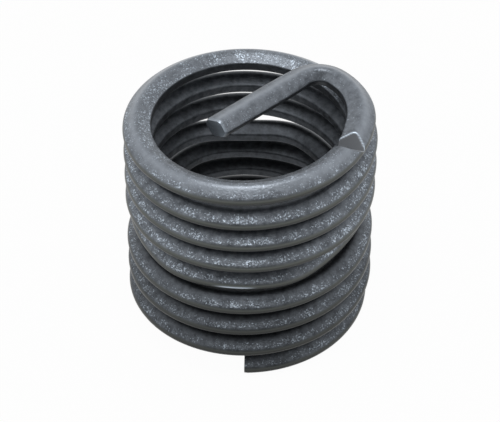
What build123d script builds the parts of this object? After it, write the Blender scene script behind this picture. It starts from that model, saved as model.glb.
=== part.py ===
"""Screw-locking helical thread insert, M12 x 1.75 by 18 mm, as it lies free before it is fitted.

One length of rhombic wire is coiled right-handed about +Z. From the bottom up it has a slightly
smaller end coil, plain turns, one polygonal locking turn at mid length, plain turns again, a
break-off notch, and a tang that is bent across the bore. The axis of the coil is Z, the plain
wire end is lowest and touches Z = 0, and angles run counter-clockwise seen from above.
"""

import os
from math import atan2, cos, degrees, pi, radians, sin, tan

from build123d import *

os.makedirs("parts", exist_ok=True)

# coil
PITCH = 1.75  # thread pitch, and the rise of one free turn
COIL_R = 7.45  # outer crest radius of a free turn, before the insert is wound down into its hole
END_START = 267.0  # azimuth of the plain wire end
NOTCH_AT = 2944.2  # turning angle from the wire end up to the break-off notch
BEND_AT = 2964.5  # turning angle from the wire end up to the start of the tang's bend

# wire: a rhombus with 60 degree flanks, a truncated outer crest and the thread's own inner crest
WIRE_W = 1.71  # radial width
OUTER_FLAT = 0.38  # height of the outer crest
INNER_FLAT = PITCH / 4  # height of the inner crest, the flat of an internal thread
FLANK = 30.0  # slope of each flank from the radial direction
CANT = 5.8  # how far coiling rolls the wire, inner crest up

# end coil, smaller so that the insert starts in its hole
END_INSET = 0.20
END_HOLDS = 70.0  # the inset is full up to this angle
END_GONE = 290.0  # and gone from this one

# locking turn: bowed sides between corners, as (angle of the corner, inset at the corner,
# inset midway along the side that follows it)
LOCK = (
    (1228.0, 0.00, 0.30),
    (1293.0, 0.03, 0.42),
    (1349.0, 0.12, 0.42),
    (1405.0, 0.12, 0.37),
    (1463.0, 0.15, 0.68),
    (1531.0, 0.20, 0.47),
    (1599.0, 0.05, 0.43),
    (1653.0, 0.00, 0.00),
)
LOCK_ROUND = 8.0  # angle over which a corner is rounded, to each side
LOCK_SQUEEZE = 0.13  # the locking turn rises this much less than the plain ones
LOCK_LEAD = 75.0  # the round crests keep this far from its first and last corner

# tang
BEND_R1 = 4.37  # centreline radius of the bend's opening part
BEND_A1 = 54.8  # its angle
BEND_R2 = 1.60  # centreline radius of its tight part
TANG_HEADING = 222.4  # direction in which the tang points
TANG_L = 6.8  # straight length
TANG_W = 1.47  # width of the wire along the tang, which bending has drawn in
TANG_ROLL = 26.0  # how far bending has rolled it, inner crest down
TIP_CHAMFER = 0.12

# break-off notch
NOTCH_HALF = 43.0  # half of the groove's angle
NOTCH_FLOOR = 0.04  # height of its root above the wire's centre

STEP = 45.0  # angle of one stretch of plain turn
LOFT_STEP = 8.0  # spacing of the wire's sections where its radius changes
CREST_SPARE = 0.06 * WIRE_W  # what a plain stretch has past its crests before they are turned round


def outline(spare=0.0):
    """Corners of the wire's section: x from the middle of its width outward, y up.

    spare lengthens the flanks past both crests.
    """
    half = WIRE_W / 2
    up, down = tan(radians(FLANK + CANT)), tan(radians(FLANK - CANT))
    rise = WIRE_W * sin(radians(CANT))
    out_y, in_y = OUTER_FLAT / 2, INNER_FLAT / 2
    # the ridge is where the outer and inner flanks meet, measured inward from the outer crest
    top = (rise + in_y - out_y + WIRE_W * down) / (up + down)
    low = (in_y - rise - out_y + WIRE_W * up) / (up + down)
    return (
        (half + spare, out_y - spare * up),
        (half - top, out_y + top * up),
        (-half - spare, rise + in_y - spare * down),
        (-half - spare, rise - in_y + spare * up),
        (half - low, -out_y - low * down),
        (half + spare, -out_y + spare * down),
    )


BASE_Z = -outline()[4][1]  # height of the wire's centre at the plain end
MID_R = COIL_R - WIRE_W / 2


def ease(share):
    """A smooth step from 0 to 1."""
    share = min(max(share, 0.0), 1.0)
    return share * share * (3 - 2 * share)


def sharp_inset(angle):
    """How far the coil lies inside its full radius, if the locking turn had sharp corners."""
    if angle <= LOCK[0][0]:
        return END_INSET * (1 - ease((angle - END_HOLDS) / (END_GONE - END_HOLDS)))
    for (a0, c0, mid), (a1, c1, _) in zip(LOCK, LOCK[1:]):
        if a0 <= angle <= a1:
            share = (angle - a0) / (a1 - a0)
            corner = c0 + (c1 - c0) * share
            bow = 1 - (2 * share - 1) ** 2
            return corner + (mid - (c0 + c1) / 2) * bow
    return 0.0


def inset(angle):
    """How far the coil lies inside its full radius at a turning angle."""
    around = (angle - LOCK_ROUND, angle - LOCK_ROUND / 2, angle, angle + LOCK_ROUND / 2, angle + LOCK_ROUND)
    return sum(sharp_inset(a) for a in around) / len(around)


def height(angle):
    """Height of the wire's centre at a turning angle."""
    low, high = LOCK[0][0], LOCK[-1][0]
    return BASE_Z + PITCH * angle / 360 - LOCK_SQUEEZE * ease((angle - low) / (high - low))


def centre(angle):
    """Centre of the wire at a turning angle."""
    r, t = MID_R - inset(angle), radians(END_START + angle)
    return Vector(r * cos(t), r * sin(t), height(angle))


def section_plane(at, heading, roll=0.0):
    """Upright plane across a wire that runs in a heading: local x outward, local y up.

    roll turns both, so that x points up a little.
    """
    t, r = radians(heading), radians(roll)
    return Plane(
        origin=at, x_dir=(sin(t) * cos(r), -cos(t) * cos(r), sin(r)), z_dir=(-cos(t), -sin(t), 0)
    )


def section(at, heading, spare=0.0, bent=0.0):
    """The wire's section as a face on that plane.

    bent is the share of the bend that lies behind it: bending draws the wire in and rolls it.
    """
    narrow = 1 + (TANG_W / WIRE_W - 1) * bent
    with BuildSketch(section_plane(at, heading, TANG_ROLL * bent)) as sketch:
        with BuildLine():
            Polyline(*[(x * narrow, y) for x, y in outline(spare)], close=True)
        make_face()
    return sketch.sketch.faces()[0]


def coil_section(angle, spread=3.0):
    """The section at a turning angle, square to the way the wire runs there."""
    ahead = centre(angle + spread) - centre(angle - spread)
    return section(centre(angle), degrees(atan2(ahead.Y, ahead.X)))


def shaped_stretch(start, stop):
    """A stretch of coil whose radius changes, through sections spaced along it."""
    count = round((stop - start) / LOFT_STEP)
    angles = [start + (stop - start) * i / count for i in range(count + 1)]
    faces = [coil_section(a) for a in angles]
    faces[0] = section(centre(start), END_START + start + 90)
    faces[-1] = section(centre(stop), END_START + stop + 90)
    with BuildPart() as stretch:
        loft(sections=faces)
    return stretch.solid()


def plain_turns(start, stop):
    """Plain turns: one short stretch with round crests, repeated along the screw line."""
    count = round((stop - start) / STEP)
    step = (stop - start) / count
    rise = PITCH * step / 360
    with BuildPart() as stretch:
        with BuildLine():
            line = Helix(pitch=PITCH, height=rise, radius=MID_R)
        sweep(sections=section((MID_R, 0, 0), 90, CREST_SPARE), path=line, is_frenet=True)
        Cylinder(COIL_R, 4 * PITCH, mode=Mode.INTERSECT)
        Cylinder(COIL_R - WIRE_W, 4 * PITCH, mode=Mode.SUBTRACT)
    return [
        stretch.solid().moved(
            Location((0, 0, height(start) + rise * i), (0, 0, END_START + start + step * i))
        )
        for i in range(count)
    ]


def bent_tang():
    """The bend that turns the wire inward, then the straight tang across the bore."""
    at, heading = centre(BEND_AT), END_START + BEND_AT + 90
    slope = PITCH / (2 * pi * MID_R)
    turn = (TANG_HEADING - heading + 360) % 360
    tight = turn - BEND_A1
    length, run = BEND_R1 * BEND_A1 + BEND_R2 * tight, 0.0
    faces = [section(at, heading)]
    for radius, angle in ((BEND_R1, BEND_A1), (BEND_R2, tight)):
        count = round(angle / LOFT_STEP)
        for _ in range(count):
            chord = 2 * radius * sin(radians(angle / count / 2))
            mid = radians(heading + angle / count / 2)
            at += Vector(chord * cos(mid), chord * sin(mid), chord * slope)
            heading += angle / count
            run += radius * angle / count
            faces.append(section(at, heading, bent=ease(run / length)))
    along = (cos(radians(heading)), sin(radians(heading)), 0)
    with BuildPart() as bend:
        loft(sections=faces)
    with BuildPart() as tang:
        extrude(faces[-1], amount=TANG_L, dir=along)
        tip = tang.faces().sort_by(Axis((0, 0, 0), along))[-1]
        chamfer(tip.edges(), TIP_CHAMFER)
    return [bend.solid(), tang.solid()]


with BuildPart() as insert:
    add(
        [
            shaped_stretch(0, END_GONE),
            *plain_turns(END_GONE, LOCK[0][0] - LOCK_LEAD),
            shaped_stretch(LOCK[0][0] - LOCK_LEAD, LOCK[-1][0] + LOCK_LEAD),
            *plain_turns(LOCK[-1][0] + LOCK_LEAD, BEND_AT),
            *bent_tang(),
        ],
        clean=False,
    )
    # the notch is a groove across the top of the wire, so that the tang breaks off there
    across = section_plane(centre(NOTCH_AT), END_START + NOTCH_AT + 90)
    with BuildSketch(Plane(origin=across.origin, x_dir=-across.z_dir, z_dir=across.x_dir)) as v:
        tall = 2 * WIRE_W
        wide = tall * tan(radians(NOTCH_HALF))
        with BuildLine():
            Polyline((0, NOTCH_FLOOR), (wide, NOTCH_FLOOR + tall), (-wide, NOTCH_FLOOR + tall), close=True)
        make_face()
    extrude(amount=1.5 * WIRE_W, both=True, clean=False, mode=Mode.SUBTRACT)

insert.part.label = "insert"
export_step(insert.part, "parts/insert.step")
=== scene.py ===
"""Looks of a screw-locking helical thread insert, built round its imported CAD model.

The insert is one length of rhombic wire, coiled right-handed about +Z, with a smaller end coil, a
polygonal locking turn, a break-off notch and a tang bent across the bore. Lengths are metres and
angles degrees. Angles along the wire are turning angles, counted from the plain wire end.
"""

import logging
import math
from dataclasses import dataclass, field
from enum import Enum
from typing import Callable

import bpy
import numpy as np
from mathutils import Matrix, Vector

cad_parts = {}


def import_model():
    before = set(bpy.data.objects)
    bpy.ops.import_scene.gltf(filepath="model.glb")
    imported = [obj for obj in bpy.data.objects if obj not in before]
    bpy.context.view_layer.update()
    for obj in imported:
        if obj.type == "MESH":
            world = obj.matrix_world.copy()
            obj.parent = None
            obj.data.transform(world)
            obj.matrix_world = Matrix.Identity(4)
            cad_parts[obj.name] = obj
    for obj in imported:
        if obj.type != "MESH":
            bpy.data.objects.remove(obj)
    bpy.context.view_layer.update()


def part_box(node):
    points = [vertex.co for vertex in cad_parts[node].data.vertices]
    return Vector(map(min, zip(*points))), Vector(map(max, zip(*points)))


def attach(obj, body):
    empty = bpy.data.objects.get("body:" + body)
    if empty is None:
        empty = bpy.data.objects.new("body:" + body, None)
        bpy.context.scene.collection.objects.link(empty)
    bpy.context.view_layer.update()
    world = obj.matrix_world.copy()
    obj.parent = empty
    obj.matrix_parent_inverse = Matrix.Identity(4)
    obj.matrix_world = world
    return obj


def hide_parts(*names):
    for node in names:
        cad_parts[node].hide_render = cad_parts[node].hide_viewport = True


Colour = tuple[float, float, float]
Span = tuple[float, float]

LOG = logging.getLogger("thread_insert")
MM = 0.001
BLUR_REACH = 2.5
BLUR_SAMPLES = 21


class Band(Enum):
    """Parts of the wire's skin with a finish of their own, or with painted shade or painted
    highlights, as attribute names.
    """

    OUTER_CREST = "outer_crest"
    UNDERSIDE = "underside"
    BORE = "bore"
    PAINTED_HIGHLIGHT = "rubbed"
    PAINTED_GLINT = "rim"
    LOWER = "lower"
    CLEAN = "clean"
    CUT = "cut"


class Operation(Enum):
    """What a math node does with its two values."""

    ADD = "ADD"
    SUBTRACT = "SUBTRACT"
    MULTIPLY = "MULTIPLY"
    MAXIMUM = "MAXIMUM"


# each band's shares at the middle of the plain end and of the tang's end, where they aren't 0
# the tang's end hub gets a painted highlight, and the plain end's hub painted shade
END_BANDS = {Band.CUT: (1.0, 0.0), Band.PAINTED_GLINT: (0.0, 0.3), Band.LOWER: (1.0, 0.0)}


def smooth_step(share: np.ndarray) -> np.ndarray:
    """A smooth step from 0 to 1: three times the square less twice the cube.

    Args:
        share: Values, cut off at 0 and 1.

    Returns:
        The stepped values.
    """
    share = np.clip(share, 0.0, 1.0)
    return share * share * (3 - 2 * share)


def ramp(value: np.ndarray, start: float, stop: float) -> np.ndarray:
    """A smooth step from 0 where the value is at its start to 1 where it is at its stop.

    Args:
        value: Values.
        start: The value that gives 0.
        stop: The value that gives 1, above or below the start.

    Returns:
        Shares.
    """
    return smooth_step((value - start) / (stop - start))


def bell(offset: np.ndarray, reach: float) -> np.ndarray:
    """A bell round 0: e to the power of minus the square of offset over reach.

    Args:
        offset: Distances from the bell's middle.
        reach: Distance at which it has fallen to 1 over e.

    Returns:
        Shares, 1 in the middle.
    """
    return np.exp(-((offset / reach) ** 2))


def blurred(curve: Callable[[np.ndarray], np.ndarray], at: np.ndarray, width: float) -> np.ndarray:
    """A curve with its corners rounded: its mean round each place, weighted by a bell.

    Args:
        curve: Function of the position.
        at: Positions.
        width: Standard deviation of the bell.

    Returns:
        The rounded values.
    """
    offsets = np.linspace(-BLUR_REACH, BLUR_REACH, BLUR_SAMPLES)
    weights = bell(offsets, math.sqrt(2))
    total = sum(w * curve(at + o * width) for w, o in zip(weights, offsets))
    return total / weights.sum()


@dataclass
class WireSection:
    """The rolled wire's section: a rhombus with rounded ridges, in the plane across the wire.

    Angles are the slope of each flank before the section is canted, and the cant itself, inner
    crest up. Each arc and each straight side between two arcs gets the given number of points.
    """

    width: float = 1.71 * MM
    outer_flat: float = 0.38 * MM
    inner_flat: float = 0.50 * MM
    flank: float = 33.0
    cant: float = 5.8
    outer_round: float = 0.32 * MM
    ridge_round: float = 0.46 * MM
    inner_round: float = 0.16 * MM
    arc_points: int = 5
    line_points: int = 3

    def corners(self) -> np.ndarray:
        """Sharp corners of the section, counter-clockwise: x outward from mid width, y up.

        The outer and inner flanks of a side are two straight lines, and the ridge is where they
        cross. The cant turns the section about its outer crest, inner crest up.

        Returns:
            A (6, 2) array, from the upper edge of the outer crest.
        """
        half = self.width / 2
        up = math.tan(math.radians(self.flank + self.cant))
        down = math.tan(math.radians(self.flank - self.cant))
        rise = self.width * math.sin(math.radians(self.cant))
        out_y, in_y = self.outer_flat / 2, self.inner_flat / 2
        top = (rise + in_y - out_y + self.width * down) / (up + down)
        low = (in_y - rise - out_y + self.width * up) / (up + down)
        return np.array(
            [
                (half, out_y),
                (half - top, out_y + top * up),
                (-half, rise + in_y),
                (-half, rise - in_y),
                (half - low, -out_y - low * down),
                (half, -out_y),
            ]
        )

    def radii(self) -> tuple[float, ...]:
        """Rounding radius at each corner."""
        ridge, inner, outer = self.ridge_round, self.inner_round, self.outer_round
        return (outer, ridge, inner, inner, ridge, outer)

    def outline(self) -> np.ndarray:
        """The section with its corners rounded.

        Each corner is an arc tangent to both sides. It starts before the corner by the radius
        times the tangent of half the turn, and its centre is one radius to the left of there. Its
        points are the centre plus the radius, turned evenly from one side's outward normal to the
        other's. Even points fill each side between two arcs.

        Returns:
            An (M, 2) closed outline, counter-clockwise, without a repeated last point.
        """
        corners = self.corners()
        into = corners - np.roll(corners, 1, axis=0)
        into /= np.linalg.norm(into, axis=1)[:, None]
        away = np.roll(into, -1, axis=0)
        pieces = []
        for corner, before, after, radius in zip(corners, into, away, self.radii()):
            turn = math.acos(float(before @ after))
            start = corner - before * radius * math.tan(turn / 2)
            outward = np.array([before[1], -before[0]])
            centre = start - radius * outward
            angles = math.atan2(outward[1], outward[0]) + turn * np.linspace(0, 1, self.arc_points)
            pieces.append(centre + radius * np.stack([np.cos(angles), np.sin(angles)], axis=1))
        rows = []
        for arc, following in zip(pieces, pieces[1:] + pieces[:1]):
            share = np.linspace(0, 1, self.line_points + 2)[1:-1, None]
            rows += [arc, arc[-1] * (1 - share) + following[0] * share]
        return np.concatenate(rows)


@dataclass
class Route:
    """The wire's centreline as arrays, with what shapes the section at each place.

    Fields hold one row for each place along the wire: its point, the direction in which the wire
    runs, as an angle in the horizontal plane in radians, how far the section is rolled about the
    wire, in radians and outer crest up, the share of the section's full width, and the distance
    from the plain end. The notch's own distance from there is one number.
    """

    points: np.ndarray
    heading: np.ndarray
    roll: np.ndarray
    width: np.ndarray
    run: np.ndarray
    notch: float


@dataclass
class Skin:
    """The wire's skin: an (N, M, 3) grid of points and an (N, M) share for each band."""

    points: np.ndarray
    bands: dict[Band, np.ndarray]


@dataclass
class WireRoute:
    """The wire's centreline: a coil whose radius and rise vary, a bend, and the straight tang.

    Places on the coil are turning angles. Insets, bulges and heights in the tables are in
    millimetres.
    """

    radius: float
    section: WireSection
    low: float
    base: float = 0.61 * MM
    pitch: float = 1.75 * MM
    end_azimuth: float = 267.0

    # end coil: its inset is full up to one angle and gone from the other
    end_inset: float = 0.25 * MM
    end_holds: float = 70.0
    end_gone: float = 290.0

    # locking turn: angle of each corner, inset there, and inset midway along the side that follows
    lock: tuple[tuple[float, float, float], ...] = (
        (1228, 0.00, 0.30),
        (1293, 0.03, 0.42),
        (1349, 0.12, 0.42),
        (1405, 0.12, 0.37),
        (1463, 0.15, 0.68),
        (1531, 0.20, 0.47),
        (1599, 0.05, 0.70),
        (1653, 0.00, 0.00),
    )
    lock_round: float = 8.0
    lock_squeeze: float = 0.13 * MM

    # turns that stand out on one side: angle and height of each bulge, and how far it reaches
    bulges: tuple[tuple[float, float], ...] = ((1893, 0.10), (2253, 0.14), (2613, 0.15))
    bulge_reach: float = 90.0

    # uneven turns: angle, and how far the wire was left above the even rise there
    uneven: tuple[tuple[float, float], ...] = (
        (300, -0.08),
        (363, 0.0),
        (420, 0.07),
        (660, -0.025),
        (780, 0.05),
        (1080, 0.0),
        (1443, 0.0),
        (1740, 0.075),
        (1803, 0.075),
        (1850, -0.11),
        (2100, 0.0),
        (2163, -0.03),
        (2210, -0.12),
        (2300, -0.06),
        (2460, -0.03),
        (2537, -0.15),
        (2600, -0.08),
        (2690, -0.02),
        (2740, -0.13),
        (2790, -0.11),
        (2850, 0.04),
        (2940, 0.05),
    )
    uneven_round: float = 25.0

    # bend: an opening arc, then a tight one, each with its own radius and number of steps
    bend_at: float = 2964.5
    bend_opening: float = 54.8
    bend_radii: tuple[float, float] = (4.37 * MM, 1.60 * MM)
    bend_steps: tuple[int, int] = (24, 59)
    bend_slope: float = 0.8  # as a share of the coil's

    # tang: bending has rolled it and drawn it in, most of all at the pinch. Widths are shares of
    # the coil's, and places are shares of the bend
    tang_heading: float = 222.4
    tang_length: float = 6.8 * MM
    tang_rise: float = 0.07 * MM
    tang_steps: int = 39
    tang_roll: float = 26.0
    roll_from: float = 0.3
    tang_width: float = 0.86
    pinch: float = 0.1
    pinch_at: float = 0.82
    pinch_reach: float = 0.17

    # rows of the skin lie closer together at the notch
    notch_at: float = 2944.2
    step: float = 1.8
    notch_step: float = 0.15
    notch_reach: float = 8.0

    @property
    def middle(self) -> float:
        """Radius of the centreline on a plain turn."""
        return self.radius - self.section.width / 2

    def sharp_inset(self, angle: np.ndarray) -> np.ndarray:
        """How far the coil would lie inside its full radius with sharp corners.

        The end coil eases from its inset to none. A side of the locking turn is the straight
        change between its two corners' insets plus a parabola that is full midway.

        Args:
            angle: Turning angles.

        Returns:
            Insets, 0 on plain turns.
        """
        ends = self.end_inset * ramp(angle, self.end_gone, self.end_holds)
        at, corner, midway = np.array(self.lock).T
        straight = np.interp(angle, at, corner, left=0.0, right=0.0)
        side = np.clip(np.searchsorted(at, angle, side="right") - 1, 0, len(at) - 2)
        share = np.clip((angle - at[side]) / (at[side + 1] - at[side]), 0, 1)
        depth = midway[side] - (corner[side] + corner[side + 1]) / 2
        return ends + (straight + depth * (1 - (2 * share - 1) ** 2)) * MM

    def inset(self, angle: np.ndarray) -> np.ndarray:
        """How far the coil lies inside its full radius.

        This is the sharp inset with its corners rounded, less the bulges. Each bulge falls evenly
        to nothing at its reach.

        Args:
            angle: Turning angles.

        Returns:
            Insets, below 0 where the coil stands out.
        """
        at, height = np.array(self.bulges).T
        share = np.clip(1 - np.abs(angle[..., None] - at) / self.bulge_reach, 0, 1)
        return blurred(self.sharp_inset, angle, self.lock_round) - share @ height * MM

    def unevenness(self, angle: np.ndarray) -> np.ndarray:
        """How far each place was left above the even rise: straight changes between set places."""
        at, above = np.array(self.uneven).T
        return np.interp(angle, at, above, left=0.0) * MM

    def height(self, angle: np.ndarray) -> np.ndarray:
        """Height of the centreline.

        This is the pitch's even rise, less the locking turn's squeeze, which comes in by a smooth
        step, plus the rounded unevenness.

        Args:
            angle: Turning angles.

        Returns:
            Heights.
        """
        squeeze = self.lock_squeeze * ramp(angle, self.lock[0][0], self.lock[-1][0])
        uneven = blurred(self.unevenness, angle, self.uneven_round)
        return self.low + self.base + self.pitch * angle / 360 - squeeze + uneven

    def coil_angles(self) -> np.ndarray:
        """Turning angles of the sections on the coil: even steps, and finer ones at the notch.

        Returns:
            The angles, in rising order.
        """
        even = np.arange(0.0, self.bend_at, self.step)
        near = np.arange(-self.notch_reach, self.notch_reach, self.notch_step) + self.notch_at
        even = even[np.abs(even - self.notch_at) > self.notch_reach]
        return np.sort(np.concatenate([even, near]))

    def coil_points(self, angle: np.ndarray) -> np.ndarray:
        """Points of the coil: the radius less the inset, turned by the azimuth, at its height.

        Args:
            angle: Turning angles.

        Returns:
            An (N, 3) array.
        """
        azimuth = np.radians(self.end_azimuth + angle)
        r = self.middle - self.inset(angle)
        return np.stack([r * np.cos(azimuth), r * np.sin(azimuth), self.height(angle)], axis=1)

    def bend_turns(self) -> np.ndarray:
        """How far the bend has turned at each of its points: evenly on each of its two arcs.

        Returns:
            Angles in radians, from 0 to the whole turn.
        """
        opening = math.radians(self.bend_opening)
        full = math.radians((self.tang_heading - self.end_azimuth - self.bend_at - 90) % 360)
        first = np.linspace(0, opening, self.bend_steps[0] + 1)
        return np.concatenate([first, np.linspace(opening, full, self.bend_steps[1] + 1)[1:]])

    def bend_points(self, heading: np.ndarray) -> np.ndarray:
        """Points of the bend: short steps added up from the coil's last place.

        Each step is its arc's radius times the turn in it, runs in the mean of the headings at
        its two ends, and rises by the slope.

        Args:
            heading: Headings at the bend's points, in radians.

        Returns:
            An (N, 3) array.
        """
        stride = np.repeat(self.bend_radii, self.bend_steps) * np.diff(heading)
        mid = (heading[1:] + heading[:-1]) / 2
        slope = self.bend_slope * self.pitch / (math.tau * self.middle)
        steps = np.stack([stride * np.cos(mid), stride * np.sin(mid), stride * slope], axis=1)
        foot = self.coil_points(np.array([self.bend_at]))
        return np.concatenate([foot, foot + np.cumsum(steps, axis=0)])

    def route(self) -> Route:
        """The whole centreline, from the plain end to the tang's tip.

        The coil's headings follow its points. The tang goes straight on at the bend's last one.
        Along the bend the section rolls and narrows by smooth steps, and the pinch is a bell.

        Returns:
            The route.
        """
        angles = self.coil_angles()
        coil = self.coil_points(angles)
        ahead = np.gradient(coil[:, :2], axis=0)
        turning = math.radians(self.end_azimuth + self.bend_at + 90) + self.bend_turns()
        bend = self.bend_points(turning)
        final = turning[-1]
        reach = self.tang_length * np.array([math.cos(final), math.sin(final), 0.0])
        reach[2] = self.tang_rise
        tang = bend[-1] + np.linspace(0, 1, self.tang_steps + 1)[1:, None] * reach

        points = np.concatenate([coil, bend, tang])
        heading = np.concatenate(
            [np.unwrap(np.arctan2(ahead[:, 1], ahead[:, 0])), turning, np.full(len(tang), final)]
        )
        run = np.concatenate([[0], np.cumsum(np.linalg.norm(np.diff(points, axis=0), axis=1))])
        share = (run - run[len(coil)]) / (run[-len(tang)] - run[len(coil)])
        roll = math.radians(self.tang_roll) * ramp(share, self.roll_from, 1.0)
        width = 1 + (self.tang_width - 1) * smooth_step(share)
        width -= self.pinch * bell(share - self.pinch_at, math.sqrt(2) * self.pinch_reach)
        notch = float(np.interp(self.notch_at, angles, run[: len(angles)]))
        return Route(points, heading, roll, width, run, notch)


@dataclass
class Notch:
    """The break-off groove: a V across the top of the wire, skewed out of square."""

    half_angle: float = 43.0
    floor: float = 0.04 * MM
    skew: float = 12.0
    lip: float = 0.02 * MM
    rim_width: float = 0.045 * MM

    def wall(self, distance: np.ndarray) -> np.ndarray:
        """Height of the walls: the floor plus the distance over the tangent of half the V.

        Args:
            distance: Distances along the wire from the groove's root.

        Returns:
            Heights above the wire's centre.
        """
        return self.floor + np.abs(distance) / math.tan(math.radians(self.half_angle))

    def cut(self, y: np.ndarray, distance: np.ndarray) -> np.ndarray:
        """Lowers what stands above the groove's walls.

        The lower of skin and wall is half their sum, less half the square root of their squared
        difference plus the squared lip, which rounds the change from one to the other.

        Args:
            y: Heights above the wire's centre.
            distance: Distances along the wire from the groove's root.

        Returns:
            The lowered heights.
        """
        wall = self.wall(distance)
        lowered = (y + wall - np.sqrt((y - wall) ** 2 + self.lip**2)) / 2
        return np.where(wall < y + 3 * self.lip, lowered, y)

    def rim(self, y: np.ndarray, distance: np.ndarray) -> np.ndarray:
        """How near a place is to the rim of the wall towards the tang, where a painted highlight
        goes: a bell round the crossing.

        Args:
            y: Heights above the wire's centre, before the cut.
            distance: Distances along the wire from the groove's root.

        Returns:
            Shares, 1 on the rim.
        """
        near = bell(y - self.wall(distance), self.rim_width)
        return near * (distance > 0) * (y > self.floor)


@dataclass(frozen=True)
class NodeMaker:
    """Adds nodes to one tree, and sets or links their inputs as it makes them."""

    tree: bpy.types.NodeTree

    def put(
        self, node: bpy.types.Node, name: str | int, value: float | Colour | bpy.types.NodeSocket
    ) -> None:
        """Links a socket to an input, or sets a number or a colour on it.

        Args:
            node: The node.
            name: The input's name or number.
            value: A socket, a number or a colour.
        """
        if isinstance(value, bpy.types.NodeSocket):
            self.tree.links.new(value, node.inputs[name])
        elif isinstance(value, tuple):
            node.inputs[name].default_value = (*value, 1)
        else:
            node.inputs[name].default_value = value

    def noise(
        self, place: bpy.types.NodeSocket, per_m: float, detail: float, roughness: float
    ) -> bpy.types.NodeSocket:
        """A noise that sways round 0.5.

        Args:
            place: The coordinates.
            per_m: Number of its waves to the metre.
            detail: Octaves.
            roughness: How much each octave adds, as a share of the one before.

        Returns:
            Its value.
        """
        made = self.tree.nodes.new("ShaderNodeTexNoise")
        self.put(made, "Vector", place)
        self.put(made, "Scale", per_m)
        self.put(made, "Detail", detail)
        self.put(made, "Roughness", roughness)
        return made.outputs["Fac"]

    def combined(
        self,
        operation: Operation,
        first: float | bpy.types.NodeSocket,
        second: float | bpy.types.NodeSocket,
    ) -> bpy.types.NodeSocket:
        """Combines two values.

        Args:
            operation: How they are combined.
            first: A socket or a number.
            second: A socket or a number.

        Returns:
            The result.
        """
        made = self.tree.nodes.new("ShaderNodeMath")
        made.operation = operation.value
        self.put(made, 0, first)
        self.put(made, 1, second)
        return made.outputs["Value"]

    def mapped(
        self, value: bpy.types.NodeSocket, span: Span, to: Span = (0.0, 1.0), smooth: bool = False
    ) -> bpy.types.NodeSocket:
        """Maps a span of values to another span, cut off at both ends.

        Args:
            value: The value.
            span: Its first and last value.
            to: What these become.
            smooth: Whether the change is a smooth step and not an even one.

        Returns:
            The result.
        """
        made = self.tree.nodes.new("ShaderNodeMapRange")
        if smooth:
            made.interpolation_type = "SMOOTHSTEP"
        self.put(made, "Value", value)
        for name, number in zip(("From Min", "From Max", "To Min", "To Max"), span + to):
            self.put(made, name, number)
        return made.outputs["Result"]

    def blend(
        self,
        below: Colour | bpy.types.NodeSocket,
        above: Colour,
        share: bpy.types.NodeSocket,
    ) -> bpy.types.NodeSocket:
        """Covers a colour with a plain one.

        Args:
            below: The covered colour.
            above: The plain colour.
            share: How far it is covered.

        Returns:
            The blended colour.
        """
        made = self.tree.nodes.new("ShaderNodeMix")
        made.data_type = "RGBA"
        self.put(made, "A", below)
        self.put(made, "B", above)
        self.put(made, "Factor", share)
        return made.outputs["Result"]

    def band(self, band: Band) -> bpy.types.NodeSocket:
        """How far a place belongs to a band, from the mesh's own attribute.

        Args:
            band: The band.

        Returns:
            Its share.
        """
        made = self.tree.nodes.new("ShaderNodeAttribute")
        made.attribute_name = band.value
        return made.outputs["Fac"]

    def seen_directly(self) -> bpy.types.NodeSocket:
        """Tells rays from the camera, a mirror or a glass from others.

        Returns:
            A value, 1 for these rays and 0 for the others.
        """
        path = self.tree.nodes.new("ShaderNodeLightPath")
        total = path.outputs["Is Camera Ray"]
        for kind in ("Is Glossy Ray", "Is Transmission Ray"):
            total = self.combined(Operation.MAXIMUM, total, path.outputs[kind])
        return total

    def mixed_shader(
        self, share: bpy.types.NodeSocket, first: bpy.types.NodeSocket, second: bpy.types.NodeSocket
    ) -> bpy.types.NodeSocket:
        """Mixes two shaders.

        Args:
            share: How much of the second there is.
            first: The first shader.
            second: The second shader.

        Returns:
            The mixed shader.
        """
        made = self.tree.nodes.new("ShaderNodeMixShader")
        self.put(made, 0, share)
        self.put(made, 1, first)
        self.put(made, 2, second)
        return made.outputs["Shader"]


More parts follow.
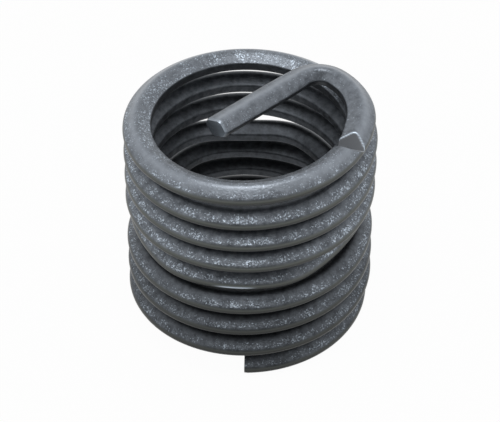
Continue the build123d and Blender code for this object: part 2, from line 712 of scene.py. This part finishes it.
@dataclass(frozen=True)
class CoatedSteel:
    """Finish of the wire: a grey coating, with painted glints as bright specks on its flanks.

    The coating is mottled, greener on the outer crest, where it is smooth, and plain where the
    wire was cut. A painted highlight makes the last turn paler, and painted shade darkens the
    wire where it faces down or into the bore and towards the plain end.
    """

    name: str = "coated_wire"
    metal: float = 0.8
    dark: Colour = (0.08, 0.089, 0.102)
    light: Colour = (0.186, 0.206, 0.233)
    crest: Colour = (0.10, 0.107, 0.10)
    cut: Colour = (0.17, 0.18, 0.195)
    glint_colour: Colour = (0.56, 0.645, 0.74)
    rubbed: Colour = (0.385, 0.425, 0.48)
    painted_highlight_share: float = 0.5

    # what is left of the colour in the painted-shade bands
    underside: float = 0.35
    bore: float = 0.36
    lower: float = 0.55

    roughness: float = 0.34
    roughness_sway: float = 0.1
    bore_roughness: float = 0.2

    # grain, and the mottling that is coarser than it by a factor
    grain_per_m: float = 7000.0
    grain_depth: float = 0.02 * MM
    mottle_coarser: float = 2.6
    mottle_span: Span = (0.33, 0.67)
    octave_share: float = 0.65

    # painted glints: bright specks where a fine noise passes a limit, which patches of a coarser
    # noise and bareness move
    glints_per_m: float = 9500.0
    glint_limit: float = 0.605
    glint_softness: float = 0.09
    patch_coarser: float = 8.0
    patch_sway: float = 0.35
    bare_drop: float = 0.5

    def bare(self, maker: NodeMaker) -> bpy.types.NodeSocket:
        """How far a place keeps free of painted glints and grain: the largest share of four bands.

        Args:
            maker: Maker of the material's nodes.

        Returns:
            The share.
        """
        total = maker.band(Band.OUTER_CREST)
        for band in (Band.CUT, Band.BORE, Band.CLEAN):
            total = maker.combined(Operation.MAXIMUM, total, maker.band(band))
        return total

    def painted_glints(
        self, maker: NodeMaker, place: bpy.types.NodeSocket, bare: bpy.types.NodeSocket
    ) -> bpy.types.NodeSocket:
        """Where the painted glints are: a fine noise above a limit that a coarse noise moves in
        patches.

        Args:
            maker: Maker of the material's nodes.
            place: The coordinates.
            bare: How far a place keeps free of them.

        Returns:
            Their share.
        """
        fine = maker.noise(place, self.glints_per_m, 3.0, self.octave_share)
        patch = maker.noise(place, self.glints_per_m / self.patch_coarser, 2.0, self.octave_share)
        sway = maker.combined(Operation.SUBTRACT, patch, 0.5)
        sway = maker.combined(Operation.MULTIPLY, sway, self.patch_sway)
        raised = maker.combined(Operation.ADD, fine, sway)
        drop = maker.combined(Operation.MULTIPLY, bare, self.bare_drop)
        lowered = maker.combined(Operation.SUBTRACT, raised, drop)
        limits = (self.glint_limit - self.glint_softness, self.glint_limit + self.glint_softness)
        return maker.mapped(lowered, limits, smooth=True)

    def colour(
        self, maker: NodeMaker, mottle: bpy.types.NodeSocket, painted_glints: bpy.types.NodeSocket
    ) -> bpy.types.NodeSocket:
        """The colour: the mottled tone, covered by one layer after the other, painted highlights,
        painted glints and painted shade among them.

        Args:
            maker: Maker of the material's nodes.
            mottle: The mottling's noise.
            painted_glints: Share of the painted glints.

        Returns:
            The colour.
        """
        # painted highlight: the last turn is paler, most of all round its upper ridge
        highlight_amount = maker.combined(Operation.MULTIPLY, maker.band(Band.PAINTED_HIGHLIGHT), self.painted_highlight_share)
        tone = maker.blend(self.dark, self.light, maker.mapped(mottle, self.mottle_span))
        tone = maker.blend(tone, self.rubbed, highlight_amount)
        # painted glints: bright specks over the tone
        tone = maker.blend(tone, self.glint_colour, painted_glints)
        tone = maker.blend(tone, self.crest, maker.band(Band.OUTER_CREST))
        tone = maker.blend(tone, self.cut, maker.band(Band.CUT))
        # painted shade: darker underside, bore side and lower turns
        darker = (Band.UNDERSIDE, self.underside), (Band.BORE, self.bore), (Band.LOWER, self.lower)
        for band, left in darker:
            share = maker.combined(Operation.MULTIPLY, maker.band(band), 1 - left)
            tone = maker.blend(tone, (0.0, 0.0, 0.0), share)
        # painted glints on the notch's rim, the tang's end and a short crest edge
        return maker.blend(tone, self.glint_colour, maker.band(Band.PAINTED_GLINT))

    def dullness(self, maker: NodeMaker, mottle: bpy.types.NodeSocket) -> bpy.types.NodeSocket:
        """The roughness: it sways with the mottling and is higher in the bore.

        Args:
            maker: Maker of the material's nodes.
            mottle: The mottling's noise.

        Returns:
            The roughness.
        """
        around = (self.roughness - self.roughness_sway, self.roughness + self.roughness_sway)
        rough = maker.mapped(mottle, (0.0, 1.0), around)
        dull = maker.combined(Operation.MULTIPLY, maker.band(Band.BORE), self.bore_roughness)
        return maker.combined(Operation.ADD, rough, dull)

    def bumps(
        self, maker: NodeMaker, place: bpy.types.NodeSocket, bare: bpy.types.NodeSocket
    ) -> bpy.types.NodeSocket:
        """The grain's bumps, which fade where the wire is bare.

        Args:
            maker: Maker of the material's nodes.
            place: The coordinates.
            bare: How far a place keeps free of them.

        Returns:
            The bumped normal.
        """
        grain = maker.noise(place, self.grain_per_m, 2.0, self.octave_share)
        height = maker.combined(Operation.SUBTRACT, grain, 0.5)
        keep = maker.combined(Operation.SUBTRACT, 1.0, bare)
        bump = maker.tree.nodes.new("ShaderNodeBump")
        maker.put(bump, "Distance", self.grain_depth)
        maker.put(bump, "Strength", 1.0)
        maker.put(bump, "Height", maker.combined(Operation.MULTIPLY, height, keep))
        return bump.outputs["Normal"]

    def material(self) -> bpy.types.Material:
        """Makes the node material.

        Returns:
            The material.
        """
        made = bpy.data.materials.new(self.name)
        made.use_nodes = True
        maker = NodeMaker(made.node_tree)
        shader = made.node_tree.nodes["Principled BSDF"]
        place = made.node_tree.nodes.new("ShaderNodeTexCoord").outputs["Object"]
        mottle = maker.noise(place, self.grain_per_m / self.mottle_coarser, 5.0, self.octave_share)
        bare = self.bare(maker)
        maker.put(shader, "Metallic", self.metal)
        maker.put(shader, "Base Color", self.colour(maker, mottle, self.painted_glints(maker, place, bare)))
        maker.put(shader, "Roughness", self.dullness(maker, mottle))
        maker.put(shader, "Normal", self.bumps(maker, place, bare))
        return made


@dataclass(frozen=True)
class WearAndPaintedLight:
    """Where each band lies on the wire's skin: its own finish, painted shade and painted
    highlights.

    A span holds the value at which a share is 0 and the one at which it is 1. Places across the
    section are lengths. Places along the wire are turns back from the tang's tip, apart from the
    tip's reach, which is a length, and the painted glint line, which is counted from the plain end.
    """

    section: WireSection
    turn: float
    tip_reach: float

    # from the outer crest, from mid height for the painted shade underneath, and how deep a cut
    # counts in full
    crest_span: Span = (-0.09 * MM, -0.01 * MM)
    under_span: Span = (0.15 * MM, -0.05 * MM)
    cut_depth: float = 0.02 * MM

    # painted shade on the bore's side, darkest round the ridges and on the deeper turns
    bore_span: Span = (0.60 * MM, -0.05 * MM)
    bore_level: float = 0.72
    bore_crease: float = 0.24 * MM
    bore_near: float = 0.75
    deep_span: Span = (1.27, 5.27)

    # the last turn, where the painted shade covers only the inner crest, from that crest and from
    # mid height
    shown_span: Span = (1.27, 1.22)
    facing_span: Span = (-0.12 * MM, -0.04 * MM)
    facing_low_span: Span = (0.10 * MM, -0.10 * MM)
    lip_span: Span = (-0.05 * MM, -0.01 * MM)

    # painted highlight on the last turn, palest just outside its upper ridge, with fewer painted
    # glints there and past the notch
    ridge_at: float = 0.28 * MM
    ridge_reach: float = 0.25 * MM
    painted_highlight_level: float = 0.2
    clean_level: float = 0.04
    clean_ridge: float = 0.16
    clean_past_notch: float = 0.13
    past_notch_span: Span = (0.42, 0.36)

    # painted shade, darker towards the plain end
    lower_span: Span = (3.5, 7.0)

    # painted highlight on the tang's end face, and on the edge on its inner side
    tip_highlight_level: float = 0.25
    tip_highlight_edge: float = 0.4
    tip_side_span: Span = (0.20 * MM, 0.0)
    tip_top_span: Span = (-0.30 * MM, -0.10 * MM)

    # a painted glint: a short bright line on the crest edge at the front of the locking turn
    glint_line_at: float = 3.95
    glint_line_reach: float = 0.022
    glint_line_span: Span = (-0.06 * MM, -0.02 * MM)
    glint_line_height: float = 0.037 * MM

    def bands(
        self, outline: np.ndarray, run: np.ndarray, lowered: np.ndarray, rim: np.ndarray
    ) -> dict[Band, np.ndarray]:
        """Shares of the bands at every point of the skin.

        Each share is a product of ramps and bells across the section, which are rows, and along
        the wire, which are columns.

        Args:
            outline: The section's outline.
            run: Distance from the plain end of each row.
            lowered: How far the notch lowered each point.
            rim: How near each point is to the notch's rim.

        Returns:
            An (N, M) array for each band.
        """
        x, y = outline.T
        half = self.section.width / 2
        full = np.ones((len(run), len(outline)))
        back = (run[-1] - run)[:, None] / self.turn
        shown = ramp(back, *self.shown_span)
        ridge = bell(x - self.ridge_at, self.ridge_reach) * (y > 0)
        past_notch = self.clean_past_notch * ramp(back, *self.past_notch_span)
        rim = np.maximum(rim, np.maximum(self.tip_highlight(x, y, run), self.painted_glint_line(x, y, run)))
        return {
            Band.OUTER_CREST: full * ramp(x - half, *self.crest_span),
            # painted shade where the wire faces down
            Band.UNDERSIDE: full * ramp(y, *self.under_span) * ramp(x, -half / 2, half / 2),
            # painted shade on the bore's side, and on the last turn's inner crest
            Band.BORE: self.bore_side_shade(x, back) * (1 - shown) + self.inner_crest_shade(x, y) * shown,
            # painted highlight on the last turn
            Band.PAINTED_HIGHLIGHT: (self.painted_highlight_level + (1 - self.painted_highlight_level) * ridge) * shown,
            # painted glints on rims and edges
            Band.PAINTED_GLINT: rim,
            Band.CLEAN: (self.clean_level + self.clean_ridge * ridge) * shown + past_notch,
            # painted shade on the lower turns
            Band.LOWER: full * ramp(back, *self.lower_span),
            Band.CUT: ramp(lowered, 0.0, self.cut_depth),
        }

    def bore_side_shade(self, x: np.ndarray, back: np.ndarray) -> np.ndarray:
        """Painted shade on the side towards the bore: it grows inward, at the ridges and downward.

        Args:
            x: Places across the section, outward.
            back: Turns from the tang's tip.

        Returns:
            Shares, for every point of the skin.
        """
        crease = self.bore_level + (1 - self.bore_level) * bell(x, self.bore_crease)
        deep = self.bore_near + (1 - self.bore_near) * ramp(back, *self.deep_span)
        return ramp(x, *self.bore_span) * crease * deep

    def inner_crest_shade(self, x: np.ndarray, y: np.ndarray) -> np.ndarray:
        """Painted shade on the inner crest alone: its lower part, or its very face if that is
        larger.

        Args:
            x: Places across the section, outward.
            y: Places across the section, upward.

        Returns:
            Shares, for every point of the section.
        """
        past = -x - self.section.width / 2
        low = ramp(past, *self.facing_span) * ramp(y, *self.facing_low_span)
        return np.maximum(ramp(past, *self.lip_span), low)

    def tip_highlight(self, x: np.ndarray, y: np.ndarray, run: np.ndarray) -> np.ndarray:
        """Painted highlight on the tang's end: its face, and the edge on the inner side.

        Args:
            x: Places across the section, outward.
            y: Places across the section, upward.
            run: Distance from the plain end of each row.

        Returns:
            Shares, for every point of the skin.
        """
        near = bell(run[-1] - run, self.tip_reach)[:, None]
        edge = ramp(x, *self.tip_side_span) * ramp(y, *self.tip_top_span)
        return near * (self.tip_highlight_level + self.tip_highlight_edge * edge)

    def painted_glint_line(self, x: np.ndarray, y: np.ndarray, run: np.ndarray) -> np.ndarray:
        """Brightness of the painted glint line on the crest edge: a bell across it, and a
        flat-topped one along the wire.

        Args:
            x: Places across the section, outward.
            y: Places across the section, upward.
            run: Distance from the plain end of each row.

        Returns:
            Shares, for every point of the skin.
        """
        along = bell((run / self.turn - self.glint_line_at) ** 2, self.glint_line_reach**2)[:, None]
        crest = ramp(x - self.section.width / 2, *self.glint_line_span)
        return along * crest * bell(y, self.glint_line_height)


@dataclass
class ThreadInsert:
    """The insert itself: the section carried along the route, with its notch and cut ends.

    Just before the notch the wire leans: its inner side lacks a share of the width, in full over
    the lean's reach and less over as much again.
    """

    low: Vector
    high: Vector
    section: WireSection = field(default_factory=WireSection)
    notch: Notch = field(default_factory=Notch)
    finish: CoatedSteel = field(default_factory=CoatedSteel)
    end_chamfer: float = 0.03 * MM
    tip_chamfer: float = 0.1 * MM
    tip_slant: float = 0.2
    sharp_from: float = 40.0
    lean: float = 0.08
    lean_fade: float = 2.0 * MM
    lean_reach: float = 10.0 * MM

    def skin(self) -> Skin:
        """Works out the wire's skin as rows of points, with its bands.

        Row i, column j of the grid is the centreline's point i plus the section's point j.

        Returns:
            The skin, with one row for each place along the wire.
        """
        radius = (self.high.x - self.low.x) / 2
        route = WireRoute(radius=radius, section=self.section, low=self.low.z).route()
        outline = self.section.outline()
        x = np.tile(outline[:, 0], (len(route.run), 1))
        y = np.tile(outline[:, 1], (len(route.run), 1))
        distance = (route.run - route.notch)[:, None]
        lowered = self.notch.cut(y, distance)
        turn = math.tau * (self.high.x - self.section.width / 2)
        wear_and_light = WearAndPaintedLight(section=self.section, turn=turn, tip_reach=self.tip_chamfer)
        bands = wear_and_light.bands(outline, route.run, y - lowered, self.notch.rim(y, distance))

        middle = outline.mean(axis=0)
        keep = self.taper(route.run, self.end_chamfer)
        keep = keep * self.taper(route.run[-1] - route.run, self.tip_chamfer)
        x = middle[0] + (x - middle[0]) * keep[:, None]
        y = middle[1] + (lowered - middle[1]) * keep[:, None]
        x = x - self.lean_share(route)[:, None] * (x - self.section.width / 2)
        return Skin(self.placed(route, x, y), bands)

    def taper(self, distance: np.ndarray, chamfer: float) -> np.ndarray:
        """Share of the section that is left near a cut end, rounded as a quarter circle.

        Args:
            distance: Distance from the cut.
            chamfer: Length over which the section shrinks.

        Returns:
            Shares, 1 away from the end.
        """
        near = np.clip(distance / chamfer, 0, 1)
        drop = chamfer / (self.section.width / 2)
        return 1 - drop * (1 - np.sqrt(1 - (1 - near) ** 2))

    def lean_share(self, route: Route) -> np.ndarray:
        """Share of the width that the inner side lacks at each place along the wire.

        Args:
            route: The centreline.

        Returns:
            Shares, 0 well before the notch and past it.
        """
        behind = route.notch - route.run
        near = ramp(behind, 2 * self.lean_reach, self.lean_reach)
        return self.lean * near * ramp(behind, -self.lean_fade, 0.0)

    def slant(self, route: Route) -> np.ndarray:
        """How far each row runs on along the wire for its distance outward.

        A row is slanted near the tang's end, for its slanted cut, and near the notch, by the
        tangent of the notch's skew.

        Args:
            route: The centreline.

        Returns:
            Slopes.
        """
        width = self.section.width
        near_tip = ramp(route.run[-1] - route.run, width, 0.0)
        near_notch = ramp(np.abs(route.run - route.notch), 2 * width, width)
        return self.tip_slant * near_tip + math.tan(math.radians(self.notch.skew)) * near_notch

    def placed(self, route: Route, x: np.ndarray, y: np.ndarray) -> np.ndarray:
        """Places the section's points along the route.

        The section is narrowed and rolled. Its x then runs along the outward direction, which is
        the heading turned a quarter clockwise, plus the slant along the heading, and its y up.

        Args:
            route: The centreline.
            x: Places across the section, outward.
            y: Places across the section, upward.

        Returns:
            An (N, M, 3) grid of points.
        """
        x = x * route.width[:, None]
        cos, sin = np.cos(route.roll)[:, None], np.sin(route.roll)[:, None]
        x, y = x * cos - y * sin, x * sin + y * cos
        along = self.slant(route)[:, None] * x
        cos, sin = np.cos(route.heading)[:, None], np.sin(route.heading)[:, None]
        grid = np.stack([x * sin + along * cos, along * sin - x * cos, y], axis=2)
        return route.points[:, None, :] + grid

    def build(self) -> bpy.types.Object:
        """Makes the wire's closed mesh.

        Returns:
            The object, at the origin.
        """
        return self.mesh_of(self.skin())

    def mesh_of(self, skin: Skin) -> bpy.types.Object:
        """Puts the grid and its two end fans into a mesh, with the bands as attributes.

        A face joins each point to the next one in its row and to both of theirs in the next row.
        A fan joins an end row to its mean point.

        Args:
            skin: The skin.

        Returns:
            The object.
        """
        grid = skin.points
        rows, columns = grid.shape[:2]
        index = np.arange(rows * columns).reshape(rows, columns)
        here, ahead = index[:-1], index[1:]
        quads = np.stack(
            [here, np.roll(here, -1, axis=1), np.roll(ahead, -1, axis=1), ahead], axis=-1
        ).reshape(-1, 4)
        hubs = np.stack([grid[0].mean(axis=0), grid[-1].mean(axis=0)])
        first, last = rows * columns, rows * columns + 1
        start = np.stack([np.full(columns, first), np.roll(index[0], -1), index[0]], axis=1)
        stop = np.stack([np.full(columns, last), index[-1], np.roll(index[-1], -1)], axis=1)
        points = np.concatenate([grid.reshape(-1, 3), hubs])
        mesh = bpy.data.meshes.new("coiled_wire")
        mesh.from_pydata(points.tolist(), [], quads.tolist() + start.tolist() + stop.tolist())
        mesh.validate()
        for band, share in skin.bands.items():
            layer = mesh.attributes.new(band.value, "FLOAT", "POINT")
            ends = END_BANDS.get(band, (0.0, 0.0))
            layer.data.foreach_set("value", np.append(share.ravel(), ends).astype(np.float32))
        mesh.shade_smooth()
        mesh.set_sharp_from_angle(angle=math.radians(self.sharp_from))
        made = bpy.data.objects.new("coiled_wire", mesh)
        bpy.context.collection.objects.link(made)
        return made

    def dress(self, piece: bpy.types.Object) -> None:
        """Gives the wire its finish and ties it to the frame.

        Args:
            piece: The wire.
        """
        piece.data.materials.append(self.finish.material())
        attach(piece, "root")
        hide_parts("insert")


@dataclass
class Studio:
    """Pale floor, one soft lamp, a white tent and the camera."""

    low: Vector

    # camera, with its lens and sensor in millimetres
    elevation: float = 42.68
    distance: float = 155.55 * MM
    aim_height: float = 7.146 * MM
    aim_side: float = 0.035 * MM
    roll: float = -0.275
    lens: float = 184.64
    sensor: float = 36.0
    clip: Span = (0.001, 10.0)

    # floor: half its side, its colour, and how far it looks plain white
    floor_reach: float = 1.5
    floor_colour: Colour = (0.8, 0.8, 0.8)
    floor_glow: float = 0.97

    # soft fill, and the tent's darker opening: its elevation, how wide it is and how bright
    fill: float = 0.55
    opening_elevation: float = 28.0
    opening_reach: float = 56.0
    opening_level: float = 0.4

    lamp_at: tuple[float, float, float] = (-0.04, -0.09, 0.41)
    lamp_side: float = 0.2
    lamp_watts: float = 0.4

    def floor(self) -> None:
        """A wide floor that looks white and keeps the object's shadow."""
        mesh = bpy.data.meshes.new("floor")
        square = ((-1, -1), (1, -1), (1, 1), (-1, 1))
        reach, level = self.floor_reach, self.low.z
        mesh.from_pydata([(x * reach, y * reach, level) for x, y in square], [], [(0, 1, 2, 3)])
        made = bpy.data.objects.new("floor", mesh)
        bpy.context.collection.objects.link(made)
        mesh.materials.append(self.floor_paint())

    def floor_paint(self) -> bpy.types.Material:
        """The floor's material: dull paint, seen mostly as plain white.

        Returns:
            The material.
        """
        paint = bpy.data.materials.new("floor")
        paint.use_nodes = True
        nodes, maker = paint.node_tree.nodes, NodeMaker(paint.node_tree)
        shader = nodes["Principled BSDF"]
        maker.put(shader, "Base Color", self.floor_colour)
        maker.put(shader, "Roughness", 1.0)
        maker.put(shader, "Specular IOR Level", 0.0)
        glow = nodes.new("ShaderNodeEmission")
        maker.put(glow, "Strength", 1.0)
        share = maker.combined(Operation.MULTIPLY, maker.seen_directly(), self.floor_glow)
        mixed = maker.mixed_shader(share, shader.outputs["BSDF"], glow.outputs["Emission"])
        maker.put(nodes["Material Output"], "Surface", mixed)
        return paint

    def world(self) -> None:
        """A white tent, with a darker opening at the front for the camera, and a soft fill.

        The camera sees plain white. Mirrored and refracted rays see the tent: white, less what the
        opening takes away round its direction. Other rays get the fill.
        """
        sky = bpy.data.worlds.new("studio")
        sky.use_nodes = True
        nodes, maker = sky.node_tree.nodes, NodeMaker(sky.node_tree)
        fill = nodes["Background"]
        seen = nodes.new("ShaderNodeBackground")
        tent = nodes.new("ShaderNodeBackground")
        for backdrop, strength in ((fill, self.fill), (seen, 1.0), (tent, self.tent_level(maker))):
            maker.put(backdrop, "Color", (1.0, 1.0, 1.0))
            maker.put(backdrop, "Strength", strength)
        mirrored = maker.mixed_shader(
            maker.seen_directly(), fill.outputs["Background"], tent.outputs["Background"]
        )
        camera_ray = nodes.new("ShaderNodeLightPath").outputs["Is Camera Ray"]
        shown = maker.mixed_shader(camera_ray, mirrored, seen.outputs["Background"])
        maker.put(nodes["World Output"], "Surface", shown)
        bpy.context.scene.world = sky

    def tent_level(self, maker: NodeMaker) -> bpy.types.NodeSocket:
        """Brightness of the tent in each direction.

        It is 1, and falls by a smooth step of the cosine to the opening's middle.

        Args:
            maker: Maker of the world's nodes.

        Returns:
            The brightness.
        """
        tilt = math.radians(self.opening_elevation)
        towards = maker.tree.nodes.new("ShaderNodeVectorMath")
        towards.operation = "DOT_PRODUCT"
        towards.inputs[1].default_value = (0, -math.cos(tilt), math.sin(tilt))
        maker.put(towards, 0, maker.tree.nodes.new("ShaderNodeTexCoord").outputs["Generated"])
        span = (math.cos(math.radians(self.opening_reach)), 1.0)
        return maker.mapped(towards.outputs["Value"], span, (1.0, self.opening_level), smooth=True)

    def lamp(self) -> None:
        """A soft square lamp above the object, which faces it."""
        light = bpy.data.lights.new("overhead", "AREA")
        light.size = self.lamp_side
        light.energy = self.lamp_watts
        made = bpy.data.objects.new("overhead", light)
        bpy.context.collection.objects.link(made)
        made.location = Vector(self.lamp_at)
        made.rotation_euler = (-Vector(self.lamp_at)).to_track_quat("-Z", "Y").to_euler()

    def camera(self) -> None:
        """The camera, at the measured elevation, aimed at the middle of the coil."""
        data = bpy.data.cameras.new("camera")
        data.lens = self.lens
        data.sensor_width = self.sensor
        data.clip_start, data.clip_end = self.clip
        made = bpy.data.objects.new("camera", data)
        bpy.context.collection.objects.link(made)
        tilt = math.radians(self.elevation)
        back = Vector((0, -math.cos(tilt), math.sin(tilt)))
        aim = Vector((self.aim_side, 0, self.low.z + self.aim_height))
        turn = (-back).to_track_quat("-Z", "Y").to_matrix().to_4x4()
        place = Matrix.Translation(aim + back * self.distance)
        made.matrix_world = place @ turn @ Matrix.Rotation(math.radians(self.roll), 4, "Z")
        bpy.context.scene.camera = made

    def set_up(self) -> None:
        """Builds the whole studio."""
        self.floor()
        self.world()
        self.lamp()
        self.camera()
        bpy.context.scene.view_settings.view_transform = "Standard"


def main() -> None:
    """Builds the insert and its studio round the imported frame."""
    logging.basicConfig(level=logging.INFO, format="%(message)s")
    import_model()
    low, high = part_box("insert")
    insert = ThreadInsert(low=Vector(low), high=Vector(high))
    piece = insert.build()
    insert.dress(piece)
    piece.data.calc_loop_triangles()
    LOG.info("%s: %d triangles", piece.name, len(piece.data.loop_triangles))
    Studio(low=Vector(low)).set_up()
    bpy.context.view_layer.update()


if __name__ == "__main__":
    main()
